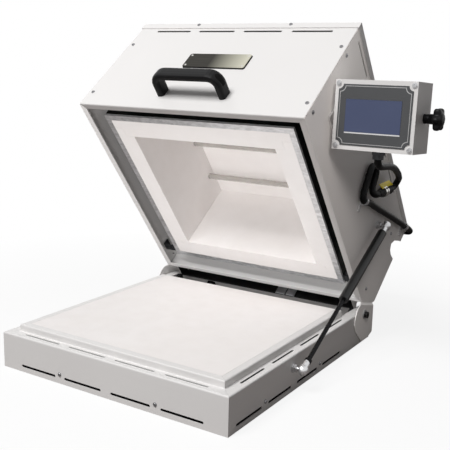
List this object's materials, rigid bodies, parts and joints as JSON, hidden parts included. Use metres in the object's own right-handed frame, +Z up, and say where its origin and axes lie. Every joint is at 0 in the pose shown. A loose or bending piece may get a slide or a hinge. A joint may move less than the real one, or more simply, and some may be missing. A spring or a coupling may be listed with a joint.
{
  "type": "clamshell jewellery kiln with a tilting touch controller",
  "caption": "White front-opening clamshell kiln with a fibre hearth, a lid lined in fibre board held up by a gas spring, and a tilting control box on the lid's right side.",
  "frame": {"origin": "centre of the underside of the base tray, on the table plane", "axes": "X to the right of a person facing the kiln, Y to the back, Z up"},
  "size_m": [0.6809, 0.7494, 0.6274],
  "materials": {
    "white_paint": "satin powder coat",
    "galvanised_sheet": "bright galvanised",
    "fibre_board": "matt rigid ceramic fibre",
    "fibre_blanket": "matt soft ceramic fibre",
    "plain_steel": "zinc plated",
    "black_steel": "satin black",
    "spring_rod_steel": "dark polished",
    "dark_bracket": "matt",
    "quartz": "clear fused quartz",
    "heating_wire": "oxidised",
    "terminal_ceramic": "glazed ceramic",
    "handle_plastic": "satin moulded",
    "nameplate_metal": "brushed, bare",
    "rivet_metal": "nickel plated",
    "cable_rubber": "matt",
    "yellow_strap": "matt",
    "label_film": "matt film",
    "screen_glass": "switched off, smooth"
  },
  "bodies": {
    "base": {"base_front_panel": "white_paint", "base_left_panel": "white_paint", "base_right_panel": "white_paint", "base_rear_panel": "white_paint", "base_pan": "galvanised_sheet", "hearth_board": "fibre_board", "hearth_insulation": "fibre_blanket", "hearth_supports": "galvanised_sheet", "well_divider": "white_paint", "base_screws": "plain_steel", "hinge_bushes": "plain_steel", "lower_ball_stud": "plain_steel", "power_gland": "cable_rubber"},
    "lid": {"lid_front_panel": "white_paint", "lid_left_side": "white_paint", "lid_right_side": "white_paint", "lid_rear_panel": "white_paint", "lid_top_cover": "white_paint", "wiring_cover": "white_paint", "cover_straps": "galvanised_sheet", "liner_frame": "galvanised_sheet", "inner_case": "galvanised_sheet", "case_insulation": "fibre_blanket", "corner_brackets": "dark_bracket", "lining_front": "fibre_board", "lining_rear": "fibre_board", "lining_left": "fibre_board", "lining_right": "fibre_board", "lining_roof": "fibre_board", "element_tubes": "quartz", "element_coils": "heating_wire", "element_terminals": "terminal_ceramic", "thermocouple": "plain_steel", "handle": "handle_plastic", "nameplate_backing": "handle_plastic", "nameplate": "nameplate_metal", "nameplate_rivets": "rivet_metal", "lid_screws": "plain_steel", "hinge_bolts": "black_steel", "hinge_washers": "plain_steel", "upper_stud": "plain_steel", "controller_bracket": "white_paint", "tilt_rod": "plain_steel", "cable_clips": "dark_bracket", "cable_elbow": "cable_rubber", "panel_cable": "cable_rubber", "cable_connector": "cable_rubber", "connector_rings": "rivet_metal", "release_strap": "yellow_strap", "controller_lead": "cable_rubber"},
    "spring_lower": {"spring_rod": "spring_rod_steel"},
    "spring_upper": {"spring_cylinder": "black_steel", "upper_ball": "plain_steel"},
    "controller": {"control_housing": "white_paint", "control_front_plate": "white_paint", "control_screws": "plain_steel", "control_label": "label_film", "touch_screen": "screen_glass", "lead_gland": "cable_rubber"},
    "clamp_knob": {"knob": "handle_plastic"}
  },
  "joints": [
    {"name": "lid_hinge", "type": "hinge", "parent": "base", "child": "lid", "pos_m": [0, 0.2353, 0.0585], "axis": [1, 0, 0], "range_deg": [0, 52.8]},
    {"name": "spring_swing", "type": "hinge", "parent": "base", "child": "spring_lower", "pos_m": [0.261, -0.068, 0.044], "axis": [1, 0, 0], "range_deg": [0, 11.15]},
    {"name": "spring_stroke", "type": "slide", "parent": "spring_lower", "child": "spring_upper", "axis": [0, 0.8766, 0.4813], "range_m": [-0.15142, 0]},
    {"name": "control_tilt", "type": "hinge", "parent": "lid", "child": "controller", "pos_m": [0.325, 0.06213, 0.46941], "axis": [1, 0, 0], "range_deg": [-60, 20], "deforming": ["controller_lead"]},
    {"name": "knob_turn", "type": "hinge", "parent": "lid", "child": "clamp_knob", "pos_m": [0.415, 0.06213, 0.46941], "axis": [1, 0, 0], "continuous": true}
  ],
  "couplings": [
    {"joint": "spring_swing", "follows": "lid_hinge", "ratio": 0.21127},
    {"joint": "spring_stroke", "follows": "lid_hinge", "m_per_rad": -0.16431}
  ]
}
